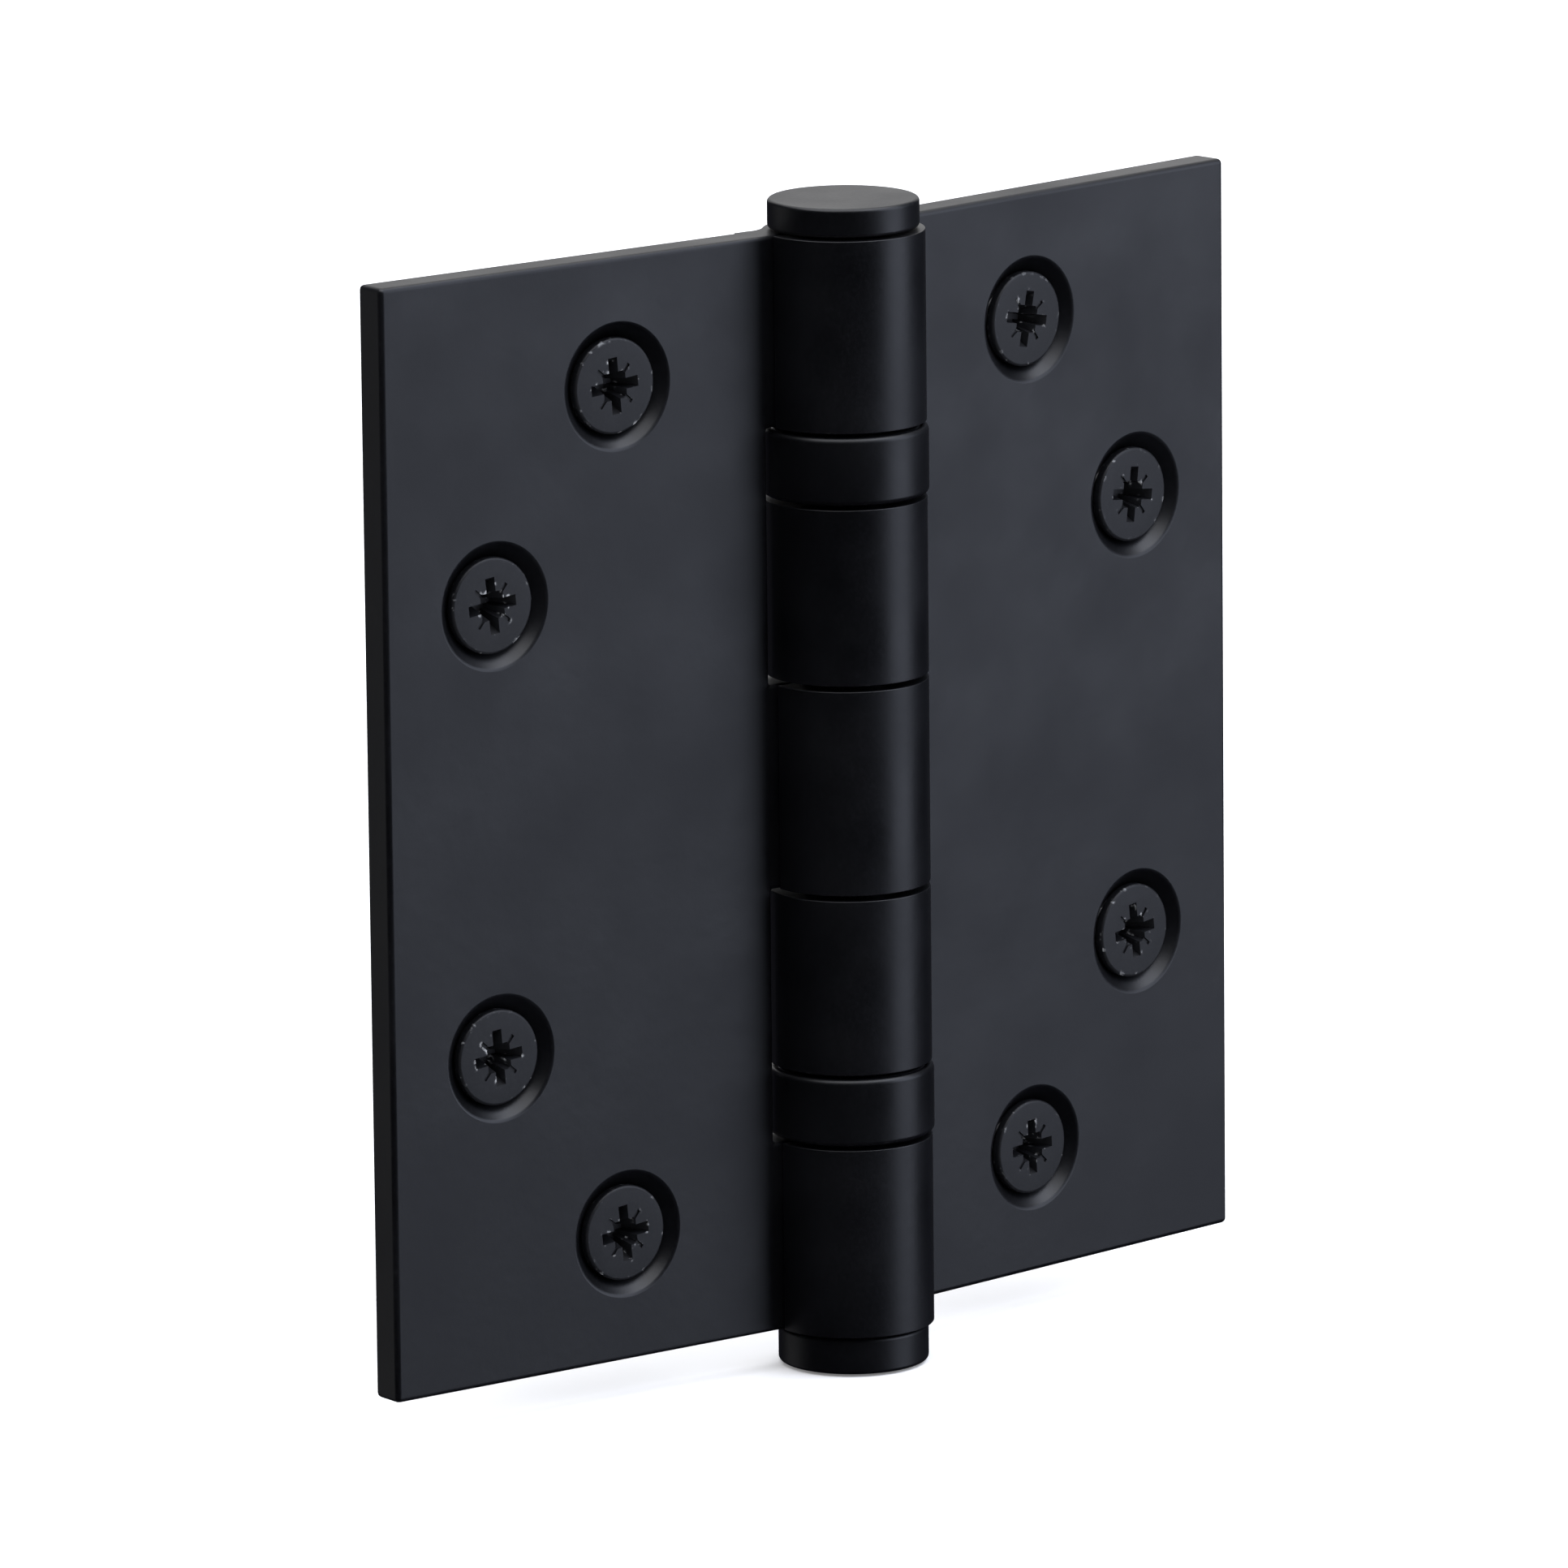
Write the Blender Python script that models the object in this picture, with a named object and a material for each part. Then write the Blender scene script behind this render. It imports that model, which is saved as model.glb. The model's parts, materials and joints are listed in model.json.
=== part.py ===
"""Square-corner ball-bearing butt hinge, 89 x 89 x 3 mm, open a little past flat.

The frame leaf carries three knuckles and the fixed pin, the door leaf carries two. A ball thrust
bearing sits between each pair of knuckles that takes the door's weight. Each leaf is held by four
countersunk screws. Every length below is in millimetres and is turned into metres when it is used.

The origin is the middle of the frame leaf's back face. +Y points out of that face, into the door
frame, and +Z points up along the pin.
"""

import math

import bmesh
import bpy
from mathutils import Matrix, Vector

MM = 0.001

# Leaves
LEAF_HEIGHT = 89.0
HALF_WIDTH = 44.5  # pin axis to a leaf's free edge
LEAF_THICKNESS = 3.0
FACE_SETBACK = 0.8  # the leaf's front face lies this far behind the pin axis
OPEN_PAST_FLAT = 7.7  # degrees that the door leaf stands back from the frame leaf's plane

# Knuckles, pin and its ends
BARREL_R = 6.5
PIN_R = 3.5
BORE_R = 3.57
SLOT_REACH = 7.1  # pin axis to the edge of a slot that clears the other leaf's knuckles
JOGGLE_R = 2.5  # fillet where the plate bends into the rolled knuckle
MIDDLE_KNUCKLE = (-8.3, 8.3)
DOOR_KNUCKLE = (8.7, 22.95)
END_KNUCKLE = (29.05, LEAF_HEIGHT / 2)
TIP_R = 6.05
TIP_GAP = 0.15
PIN_HEAD_TOP = 47.0
BOTTOM_TIP_END = -47.6
PIN_END = -40.0
TIP_EDGE = 0.3

# Screws and their holes
HOLES = ((21.83, 34.19), (33.97, 18.13))  # (distance from the pin axis, height), above and below
SINK_MOUTH_R = 4.5
HOLE_R = 2.3
HEAD_R = 3.85
HEAD_TOP = 0.3  # depth of the head's top below the leaf's face
HEAD_LAND = 0.25
SHANK_R = 1.95
SCREW_LENGTH = 16.0
SCREW_POINT = 3.0
RECESS_SPAN = 4.3
RECESS_SLOT = 0.85
RECESS_DEPTH = 2.0
RECESS_TAPER = 0.45

# Ball thrust bearing
BEARING = (23.15, 28.85)
SHELL_R = 6.65
SHELL_BORE_R = 6.15
SHELL_INSET = 0.1  # the races stand this much proud of the shell at each end
RACE_BORE_R = 3.6
RACE_R = 6.05
RACE_GAP = 1.4
PITCH_R = 4.87
BALL_R = 0.8
BALL_PLAY = 0.05
BALLS = 8
CAGE_R = (3.66, 6.08)
CAGE_THICKNESS = 0.7
POCKET_R = 0.9

BACK = FACE_SETBACK + LEAF_THICKNESS
HOLE_MIDDLE = (HOLES[0][0] + HOLES[1][0]) / 2  # the origin lies this far from the pin axis
ROUND = 48
MIDDLE_ROUND = 32
SMALL_ROUND = 24
POCKET_ROUND = 18
BALL_ROUND = 10
BALL_RINGS = 6
SMOOTH_UNDER = math.radians(35)


def clear_scene():
    for old in list(bpy.data.objects):
        bpy.data.objects.remove(old, do_unlink=True)


def material(name, colour, roughness, metallic):
    """A Principled material with the piece's colour."""
    made = bpy.data.materials.new(name)
    made.use_nodes = True
    shader = made.node_tree.nodes["Principled BSDF"]
    shader.inputs["Base Color"].default_value = (*colour, 1.0)
    shader.inputs["Roughness"].default_value = roughness
    shader.inputs["Metallic"].default_value = metallic
    return made


def empty(name, parent=None, location=(0.0, 0.0, 0.0), turn=0.0):
    """An axis that pieces hang on, turned by some degrees about Z."""
    made = bpy.data.objects.new(name, None)
    made.location = Vector(location) * MM
    made.rotation_euler.z = math.radians(turn)
    made.parent = parent
    bpy.context.scene.collection.objects.link(made)
    return made


def piece(name, shape, parent, finish=None):
    """An object from a bmesh in millimetres. Without a finish it is a cutter."""
    bmesh.ops.scale(shape, vec=(MM, MM, MM), verts=shape.verts)
    bmesh.ops.recalc_face_normals(shape, faces=shape.faces)
    mesh = bpy.data.meshes.new(name)
    shape.to_mesh(mesh)
    shape.free()
    made = bpy.data.objects.new(name, mesh)
    made.parent = parent
    bpy.context.scene.collection.objects.link(made)
    if finish is None:
        made.hide_render = True
        made.display_type = "WIRE"
    else:
        mesh.materials.append(finish)
        mesh.shade_smooth()
        mesh.set_sharp_from_angle(angle=SMOOTH_UNDER)
    return made


def turned(profile, segments, closed=False):
    """Turns (radius, height) points about Z. A closed profile makes a ring."""
    shape = bmesh.new()
    points = [shape.verts.new((r, 0.0, z)) for r, z in profile]
    edges = [shape.edges.new(pair) for pair in zip(points, points[1:])]
    if closed:
        edges.append(shape.edges.new((points[-1], points[0])))
    bmesh.ops.spin(
        shape,
        geom=points + edges,
        axis=(0.0, 0.0, 1.0),
        cent=(0.0, 0.0, 0.0),
        angle=math.tau,
        steps=segments,
        use_merge=True,
    )
    bmesh.ops.remove_doubles(shape, verts=shape.verts, dist=1e-4)
    return shape


def ring(inner, outer, low, high, segments=ROUND):
    return turned([(inner, low), (outer, low), (outer, high), (inner, high)], segments, closed=True)


def rod(radius, low, high, segments=ROUND):
    return turned([(0.0, low), (radius, low), (radius, high), (0.0, high)], segments)


def block(low, high):
    """A box between two corners."""
    shape = bmesh.new()
    bmesh.ops.create_cube(shape, size=1.0)
    size = [b - a for a, b in zip(low, high)]
    middle = [(a + b) / 2 for a, b in zip(low, high)]
    bmesh.ops.scale(shape, vec=size, verts=shape.verts)
    bmesh.ops.translate(shape, vec=middle, verts=shape.verts)
    return shape


def prism(outline, low, high):
    """An (x, y) outline carried from one height to another."""
    shape = bmesh.new()
    face = shape.faces.new([shape.verts.new((x, y, low)) for x, y in outline])
    raised = bmesh.ops.extrude_face_region(shape, geom=[face])
    tops = [v for v in raised["geom"] if isinstance(v, bmesh.types.BMVert)]
    bmesh.ops.translate(shape, vec=(0.0, 0.0, high - low), verts=tops)
    return shape


def arc(centre, radius, start, end, steps):
    """Points on an arc, with its angles in degrees."""
    angles = [math.radians(start + (end - start) * i / steps) for i in range(steps + 1)]
    return [(centre[0] + radius * math.cos(a), centre[1] + radius * math.sin(a)) for a in angles]


def cut(target, cutters):
    for cutter in cutters:
        made = target.modifiers.new(cutter.name, "BOOLEAN")
        made.operation = "DIFFERENCE"
        made.solver = "EXACT"
        made.object = cutter


def leaf_section(side):
    """The leaf seen along the pin: its plate, the bend behind it and the rolled knuckle."""
    corner = math.degrees(math.asin(FACE_SETBACK / BARREL_R))
    fillet_y = BACK + JOGGLE_R
    fillet_x = math.sqrt((BARREL_R + JOGGLE_R) ** 2 - fillet_y**2)
    tangent = math.degrees(math.atan2(fillet_y, fillet_x))
    outline = arc((0.0, 0.0), BARREL_R, corner, tangent - 360.0, ROUND - 4)
    outline += arc((fillet_x, fillet_y), JOGGLE_R, tangent - 180.0, -90.0, 4)[1:]
    outline += [(HALF_WIDTH, BACK), (HALF_WIDTH, FACE_SETBACK)]
    return [(side * x, y) for x, y in outline]


def countersink():
    """The cutter of one screw hole, with depth measured from the leaf's front face."""
    past = 1.0
    profile = [
        (0.0, -past),
        (SINK_MOUTH_R + past, -past),
        (HOLE_R, SINK_MOUTH_R - HOLE_R),
        (HOLE_R, LEAF_THICKNESS + past),
        (0.0, LEAF_THICKNESS + past),
    ]
    shape = turned(profile, MIDDLE_ROUND)
    bmesh.ops.rotate(shape, matrix=Matrix.Rotation(-math.pi / 2, 3, "X"), verts=shape.verts)
    return shape


def hole_places(side):
    """(name, x, z) of a leaf's four holes."""
    for row, (reach, height) in zip(("inner", "outer"), HOLES):
        for level, z in (("top", height), ("bottom", -height)):
            yield f"{row}_{level}", side * reach, z


def leaf(name, side, slots, parent, finish):
    """One leaf with its slots, pin bore and countersunk holes."""
    half = LEAF_HEIGHT / 2
    made = piece(name, prism(leaf_section(side), -half, half), parent, finish)
    cutters = [piece(f"{name}_bore_cut", rod(BORE_R, -half - 1, half + 1), parent)]
    for number, (low, high) in enumerate(slots):
        near, far = sorted((-side * (BARREL_R + 1), side * SLOT_REACH))
        corners = ((near, -BARREL_R - 1, low), (far, BARREL_R + 1, high))
        cutters.append(piece(f"{name}_slot_cut_{number}", block(*corners), parent))
    for place, x, z in hole_places(side):
        cutter = piece(f"{name}_{place}_cut", countersink(), parent)
        cutter.location = Vector((x, FACE_SETBACK, z)) * MM
        cutters.append(cutter)
    cut(made, cutters)


def recess():
    """The cross-shaped driver recess: two crossed slots that narrow towards the bottom."""
    span, slot = RECESS_SPAN / 2, RECESS_SLOT / 2
    quarter = [(span, -slot), (span, slot), (slot * 2, slot * 2)]
    outline = []
    for quarter_turn in range(4):
        turn = Matrix.Rotation(quarter_turn * math.pi / 2, 2)
        outline += [turn @ Vector(point) for point in quarter]
    shape = bmesh.new()
    loops = []
    for depth, scale in ((-1.0, 1.0), (0.0, 1.0), (RECESS_DEPTH, RECESS_TAPER)):
        loops.append([shape.verts.new((x * scale, y * scale, HEAD_TOP + depth)) for x, y in outline])
    for upper, lower in zip(loops, loops[1:]):
        for i in range(len(outline)):
            j = (i + 1) % len(outline)
            shape.faces.new((upper[i], upper[j], lower[j], lower[i]))
    shape.faces.new(loops[0])
    shape.faces.new(loops[-1])
    bmesh.ops.rotate(shape, matrix=Matrix.Rotation(-math.pi / 2, 3, "X"), verts=shape.verts)
    return shape


def screw_shape():
    """A countersunk wood screw, with depth measured from the leaf's front face."""
    cone_top = HEAD_TOP + HEAD_LAND
    tip = HEAD_TOP + SCREW_LENGTH
    profile = [
        (0.0, HEAD_TOP),
        (HEAD_R, HEAD_TOP),
        (HEAD_R, cone_top),
        (SHANK_R, cone_top + HEAD_R - SHANK_R),
        (SHANK_R, tip - SCREW_POINT),
        (0.0, tip),
    ]
    shape = turned(profile, SMALL_ROUND)
    bmesh.ops.rotate(shape, matrix=Matrix.Rotation(-math.pi / 2, 3, "X"), verts=shape.verts)
    return shape


def screws(group, side, parent, finish):
    for place, x, z in hole_places(side):
        name = f"{group}_screw_{place}"
        made = piece(name, screw_shape(), parent, finish)
        cutter = piece(f"{name}_recess_cut", recess(), made)
        cut(made, [cutter])
        made.location = Vector((x, FACE_SETBACK, z)) * MM


def pin_and_tip(parent, finish):
    """The fixed pin with its flat button head, and the button tip that closes the bottom knuckle."""
    half = LEAF_HEIGHT / 2
    head_base = half + TIP_GAP
    pin = [
        (0.0, PIN_END),
        (PIN_R, PIN_END),
        (PIN_R, head_base),
        (TIP_R - TIP_EDGE, head_base),
        (TIP_R, head_base + TIP_EDGE),
        (TIP_R, PIN_HEAD_TOP - TIP_EDGE),
        (TIP_R - TIP_EDGE, PIN_HEAD_TOP),
        (0.0, PIN_HEAD_TOP),
    ]
    piece("hinge_pin", turned(pin, ROUND), parent, finish)
    tip = [
        (0.0, BOTTOM_TIP_END),
        (TIP_R - TIP_EDGE, BOTTOM_TIP_END),
        (TIP_R, BOTTOM_TIP_END + TIP_EDGE),
        (TIP_R, -head_base - TIP_EDGE),
        (TIP_R - TIP_EDGE, -head_base),
        (PIN_R, -head_base),
        (PIN_R, PIN_END - 2 * TIP_GAP),
        (0.0, PIN_END - 2 * TIP_GAP),
    ]
    piece("bottom_tip", turned(tip, ROUND), parent, finish)


def race(base, groove_face):
    """A hardened washer from its flat base to the face with the ball groove."""
    middle = sum(BEARING) / 2
    groove_r = BALL_R + BALL_PLAY
    half_groove = math.sqrt(groove_r**2 - (RACE_GAP / 2) ** 2)
    steps = 4
    outline = [(RACE_BORE_R, base), (RACE_R, base), (RACE_R, groove_face)]
    for step in range(steps + 1):
        off = half_groove * (1 - 2 * step / steps)
        deep = math.sqrt(groove_r**2 - off**2)
        outline.append((PITCH_R + off, middle + math.copysign(deep, groove_face - middle)))
    outline.append((RACE_BORE_R, groove_face))
    return turned(outline, MIDDLE_ROUND, closed=True)


def bearing(level, flip, frame_side, door_side, ball_axis, finishes):
    """One thrust bearing. Its race against the end knuckle stays with the frame leaf."""
    low, high = BEARING
    middle = (low + high) / 2
    half_gap = RACE_GAP / 2
    mirror = Matrix.Diagonal((1.0, 1.0, flip))
    shapes = {
        "bearing_shell": (
            ring(SHELL_BORE_R, SHELL_R, low + SHELL_INSET, high - SHELL_INSET),
            frame_side,
            "shell",
        ),
        "frame_race": (race(high, middle + half_gap), frame_side, "race"),
        "door_race": (race(low, middle - half_gap), door_side, "race"),
    }
    for name, (shape, parent, finish) in shapes.items():
        bmesh.ops.transform(shape, matrix=mirror.to_4x4(), verts=shape.verts)
        piece(f"{level}_{name}", shape, parent, finishes[finish])
    thick = CAGE_THICKNESS / 2
    heights = (flip * middle - thick, flip * middle + thick)
    cage_shape = ring(*CAGE_R, *heights, MIDDLE_ROUND)
    cage = piece(f"{level}_ball_cage", cage_shape, ball_axis, finishes["cage"])
    pockets = []
    for number in range(BALLS):
        angle = math.tau * number / BALLS
        place = Vector((PITCH_R * math.cos(angle), PITCH_R * math.sin(angle), flip * middle))
        pocket_shape = rod(POCKET_R, -CAGE_THICKNESS, CAGE_THICKNESS, POCKET_ROUND)
        pocket = piece(f"{level}_pocket_cut_{number}", pocket_shape, ball_axis)
        pocket.location = place * MM
        pockets.append(pocket)
        ball = bmesh.new()
        bmesh.ops.create_uvsphere(
            ball, u_segments=BALL_ROUND, v_segments=BALL_RINGS, radius=BALL_R
        )
        made = piece(f"{level}_ball_{number + 1}", ball, ball_axis, finishes["ball"])
        made.location = place * MM
    cut(cage, pockets)


def main():
    clear_scene()
    black = (0.012, 0.013, 0.016)
    leaf_finish = material("leaf_black_coat", black, 0.45, 0.3)
    screw_finish = material("screw_black_coat", (0.05, 0.055, 0.06), 0.4, 0.6)
    pin_finish = material("pin_black_coat", black, 0.4, 0.4)
    bearing_finishes = {
        "shell": material("shell_black_coat", black, 0.4, 0.4),
        "race": material("race_steel", (0.45, 0.45, 0.46), 0.25, 1.0),
        "cage": material("cage_brass", (0.55, 0.38, 0.14), 0.35, 1.0),
        "ball": material("ball_steel", (0.6, 0.6, 0.62), 0.1, 1.0),
    }

    pin_axis = empty("pin_axis", location=(HOLE_MIDDLE, -BACK, 0.0))
    door_axis = empty("door_axis", pin_axis, turn=OPEN_PAST_FLAT)

    outside = LEAF_HEIGHT / 2 + 1.0
    frame_slot = (MIDDLE_KNUCKLE[1], END_KNUCKLE[0])
    frame_slots = [frame_slot, (-frame_slot[1], -frame_slot[0])]
    door_low, door_high = DOOR_KNUCKLE
    door_slots = [(door_high, outside), (-door_low, door_low), (-outside, -door_high)]
    leaf("frame_leaf", -1, frame_slots, pin_axis, leaf_finish)
    leaf("door_leaf", 1, door_slots, door_axis, leaf_finish)

    pin_and_tip(pin_axis, pin_finish)
    for level, flip in (("upper", 1), ("lower", -1)):
        # The balls roll between the two races, so they turn half as far as the door leaf.
        ball_axis = empty(f"{level}_ball_axis", pin_axis, turn=OPEN_PAST_FLAT / 2)
        bearing(level, flip, pin_axis, door_axis, ball_axis, bearing_finishes)
    screws("frame", -1, pin_axis, screw_finish)
    screws("door", 1, door_axis, screw_finish)


main()
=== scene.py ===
"""A black ball-bearing butt hinge, open a little past flat, standing on a pale studio floor."""

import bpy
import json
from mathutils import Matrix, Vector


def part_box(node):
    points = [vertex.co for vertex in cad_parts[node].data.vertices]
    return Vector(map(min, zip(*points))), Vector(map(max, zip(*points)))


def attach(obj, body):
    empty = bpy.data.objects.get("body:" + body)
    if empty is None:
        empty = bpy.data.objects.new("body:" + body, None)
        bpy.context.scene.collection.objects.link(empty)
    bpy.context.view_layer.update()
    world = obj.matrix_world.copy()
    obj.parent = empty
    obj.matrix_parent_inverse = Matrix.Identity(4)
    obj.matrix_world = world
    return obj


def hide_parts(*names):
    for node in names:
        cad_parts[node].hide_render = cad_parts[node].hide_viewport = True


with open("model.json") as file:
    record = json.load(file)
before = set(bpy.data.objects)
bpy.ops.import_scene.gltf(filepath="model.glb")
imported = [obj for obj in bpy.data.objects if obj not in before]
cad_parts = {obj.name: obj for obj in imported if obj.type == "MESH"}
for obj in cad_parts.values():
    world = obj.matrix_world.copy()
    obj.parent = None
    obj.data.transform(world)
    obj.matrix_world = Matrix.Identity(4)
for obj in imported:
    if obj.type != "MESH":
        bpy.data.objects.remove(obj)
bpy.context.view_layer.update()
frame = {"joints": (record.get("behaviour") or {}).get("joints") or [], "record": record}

import json
import math

import bmesh
import bpy
from mathutils import Matrix, Vector


# ---------------------------------------------------------------------------------------------
# The two leaves. Each is one blank of 3 mm mild steel strip, pierced and countersunk in a press.
# Tongues on one edge are rolled round a mandrel into knuckles that close against the plate's face.
# The whole leaf is then given a stoved powder coat in satin black, which rounds its edges a little.
# ---------------------------------------------------------------------------------------------
# Every mesh is drawn in millimetres about the pin's axis, with the frame leaf towards -X, and is
# then put in place on the frame's side or on the door's side of the pin.
MM = 0.001
PIN = Vector(next(j["pos_m"] for j in frame["joints"] if j["name"] == "door_swing"))
DOOR_BACK = next(m["axis"] for m in frame["record"]["mounts"] if m["name"] == "door_leaf_back")
OPEN_PAST_FLAT = math.atan2(-DOOR_BACK[0], DOOR_BACK[1])
FRAME_PLACE = Matrix.Translation(PIN) @ Matrix.Scale(MM, 4)
DOOR_PLACE = Matrix.Translation(PIN) @ Matrix.Rotation(OPEN_PAST_FLAT, 4, "Z") @ Matrix.Scale(MM, 4)
LEAF_HEIGHT = (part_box("frame_leaf")[1].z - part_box("frame_leaf")[0].z) / MM
HALF_WIDTH = (PIN.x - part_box("frame_leaf")[0].x) / MM
BARREL_R = 6.5
BORE_R = 3.57
FACE_SETBACK = 0.8  # from the pin's axis back to the plate's face
THICKNESS = 3.0
BACK = FACE_SETBACK + THICKNESS
SLOT_REACH = 7.1  # from the pin's axis to the bottom of the slots between knuckles
JOGGLE_R = 2.5  # where the strip leaves the plate's back and goes round the pin
ROLL_GAP = 0.2  # between the rolled strip's end and the plate's face
BURIED = 0.02  # a knuckle stops this far inside the plate that it grows out of
PLATE_START = 4.0  # the plate begins here, inside the barrel, and the knuckles close round its edge
KNUCKLE_ROOT = 4.6
ROOT_OVERLAP = 1.5
CUT_PAST = 1.0  # how far a cutter runs past the plate
EDGE_R = 0.42
KNUCKLE_EDGE_R = 0.5
KNUCKLE_STEPS = 96
MIDDLE_KNUCKLE = (-8.3, 8.3)
DOOR_KNUCKLE = (8.7, 22.95)
END_KNUCKLE = (29.05, LEAF_HEIGHT / 2)
HOLES = ((21.83, 34.19), (33.97, 18.13))  # out from the pin, and up or down from the middle
SINK_R = 5.05
SINK_RIM_R = 0.55  # the coated mouth of the countersink is rounded over
HOLE_R = 2.3
HOLE_EASE = 0.5
EASE_DEPTH = 0.3
SINK_SKIM = 0.004  # keeps the cutter's rounded mouth just proud of the plate's face
MOUTH_STEPS = 8
SINK_STEPS = 96


def drawn(name, shape):
    """An object from a bmesh, with its faces turned outwards."""
    bmesh.ops.recalc_face_normals(shape, faces=shape.faces)
    mesh = bpy.data.meshes.new(name)
    shape.to_mesh(mesh)
    shape.free()
    made = bpy.data.objects.new(name, mesh)
    bpy.context.scene.collection.objects.link(made)
    return made


def block(low, high):
    """A box between two corners."""
    shape = bmesh.new()
    bmesh.ops.create_cube(shape, size=1.0)
    bmesh.ops.scale(shape, vec=[b - a for a, b in zip(low, high)], verts=shape.verts)
    bmesh.ops.translate(shape, vec=[(a + b) / 2 for a, b in zip(low, high)], verts=shape.verts)
    return shape


def turned(profile, steps, closed=False):
    """Turns (radius, height) points about Z. A closed profile makes a ring."""
    shape = bmesh.new()
    points = [shape.verts.new((r, 0.0, z)) for r, z in profile]
    edges = [shape.edges.new(pair) for pair in zip(points, points[1:])]
    if closed:
        edges.append(shape.edges.new((points[-1], points[0])))
    bmesh.ops.spin(shape, geom=points + edges, axis=(0, 0, 1), cent=(0, 0, 0), angle=math.tau,
                   steps=steps, use_merge=True)
    bmesh.ops.remove_doubles(shape, verts=shape.verts, dist=1e-4)
    return shape


def arc(centre, radius, start, end, steps):
    """Points on an arc, with its angles in degrees."""
    angles = [math.radians(start + (end - start) * i / steps) for i in range(steps + 1)]
    return [(centre[0] + radius * math.cos(a), centre[1] + radius * math.sin(a)) for a in angles]


def boolean(target, other, operation="DIFFERENCE"):
    """Cuts one object from another, or joins it on."""
    made = target.modifiers.new(other.name, "BOOLEAN")
    made.operation = operation
    made.solver = "EXACT"
    made.object = other
    other.hide_render = True


def settled(target, name, place, finish, helpers=()):
    """The piece as a plain mesh in its place, with its modifiers applied and its helpers gone."""
    bpy.context.view_layer.update()
    graph = bpy.context.evaluated_depsgraph_get()
    mesh = bpy.data.meshes.new_from_object(target.evaluated_get(graph))
    for used in (target, *helpers):
        bpy.data.objects.remove(used)
    mesh.transform(place)
    mesh.name = name
    if finish is not None:
        mesh.materials.clear()
        mesh.materials.append(finish)
    made = bpy.data.objects.new(name, mesh)
    bpy.context.scene.collection.objects.link(made)
    return made


def even_normals(target):
    """Keeps flat faces flat right up to their rounded edges."""
    target.data.shade_smooth()
    target.data.set_sharp_from_angle(angle=math.radians(50))
    weighted = target.modifiers.new("even_normals", "WEIGHTED_NORMAL")
    weighted.keep_sharp = True
    weighted.weight = 100


def rolled_section(side):
    """A knuckle seen along the pin, and how many of its first edges are on the outside."""
    strip_end = FACE_SETBACK - ROLL_GAP
    plate_face = FACE_SETBACK + BURIED
    outer_start = math.degrees(math.asin(strip_end / BARREL_R))
    joggle_y = BACK - BURIED + JOGGLE_R
    joggle_x = math.sqrt((BARREL_R + JOGGLE_R) ** 2 - joggle_y**2)
    tangent = math.degrees(math.atan2(joggle_y, joggle_x))
    bore_start = math.degrees(math.asin(plate_face / BORE_R))
    bore_end = 360 + math.degrees(math.asin(strip_end / BORE_R))
    outline = arc((0, 0), BARREL_R, outer_start, tangent - 360, KNUCKLE_STEPS)
    outline += arc((joggle_x, joggle_y), JOGGLE_R, tangent - 180, -90, 8)[1:]
    outside = len(outline) - 1
    root = joggle_x + ROOT_OVERLAP
    outline += [(root, BACK - BURIED), (root, BACK - THICKNESS / 2), (KNUCKLE_ROOT, plate_face)]
    outline += arc((0, 0), BORE_R, bore_start, bore_end, KNUCKLE_STEPS)
    return [(side * x, y) for x, y in outline], outside


def knuckle(name, side, low, high):
    """A rolled knuckle between two heights, with its outer end edges rounded."""
    outline, outside = rolled_section(side)
    shape = bmesh.new()
    rows = [[shape.verts.new((x, y, z)) for x, y in outline] for z in (low + BURIED, high - BURIED)]
    weight = shape.edges.layers.float.new("bevel_weight_edge")
    for row in rows:
        shape.faces.new(row)
    for i in range(len(outline)):
        j = (i + 1) % len(outline)
        shape.faces.new((rows[0][i], rows[0][j], rows[1][j], rows[1][i]))
    for row in rows:
        for i in range(outside):
            shape.edges.get((row[i], row[i + 1]))[weight] = 1.0
    made = drawn(name, shape)
    rounding = made.modifiers.new("rounding", "BEVEL")
    rounding.limit_method = "WEIGHT"
    rounding.width = KNUCKLE_EDGE_R
    rounding.segments = 4
    return made


def countersink(name):
    """The cutter of a screw hole: rounded mouth, 90 degree cone, hole and eased back edge."""
    centre_r = SINK_R + (math.sqrt(2) - 1) * SINK_RIM_R
    profile = [(0, -1), (centre_r + 0.6, -1), (centre_r + 0.3, -0.05)]
    for step in range(MOUTH_STEPS + 1):
        angle = math.radians(45 * step / MOUTH_STEPS)
        mouth = SINK_RIM_R * (1 - math.cos(angle)) - SINK_SKIM
        profile.append((centre_r - SINK_RIM_R * math.sin(angle), mouth))
    through = THICKNESS + HOLE_EASE - EASE_DEPTH
    profile += [(HOLE_R, SINK_R - HOLE_R), (HOLE_R, THICKNESS - EASE_DEPTH), (HOLE_R + HOLE_EASE, through)]
    profile.append((0, through))
    shape = turned(profile, SINK_STEPS)
    bmesh.ops.rotate(shape, matrix=Matrix.Rotation(-math.pi / 2, 3, "X"), verts=shape.verts)
    return drawn(name, shape)


def hole_places(side):
    """(node name's ending, x, z) of a leaf's four holes."""
    for row, (reach, height) in zip(("inner", "outer"), HOLES):
        for level, z in (("top", height), ("bottom", -height)):
            yield f"{row}_{level}", side * reach, z


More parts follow.
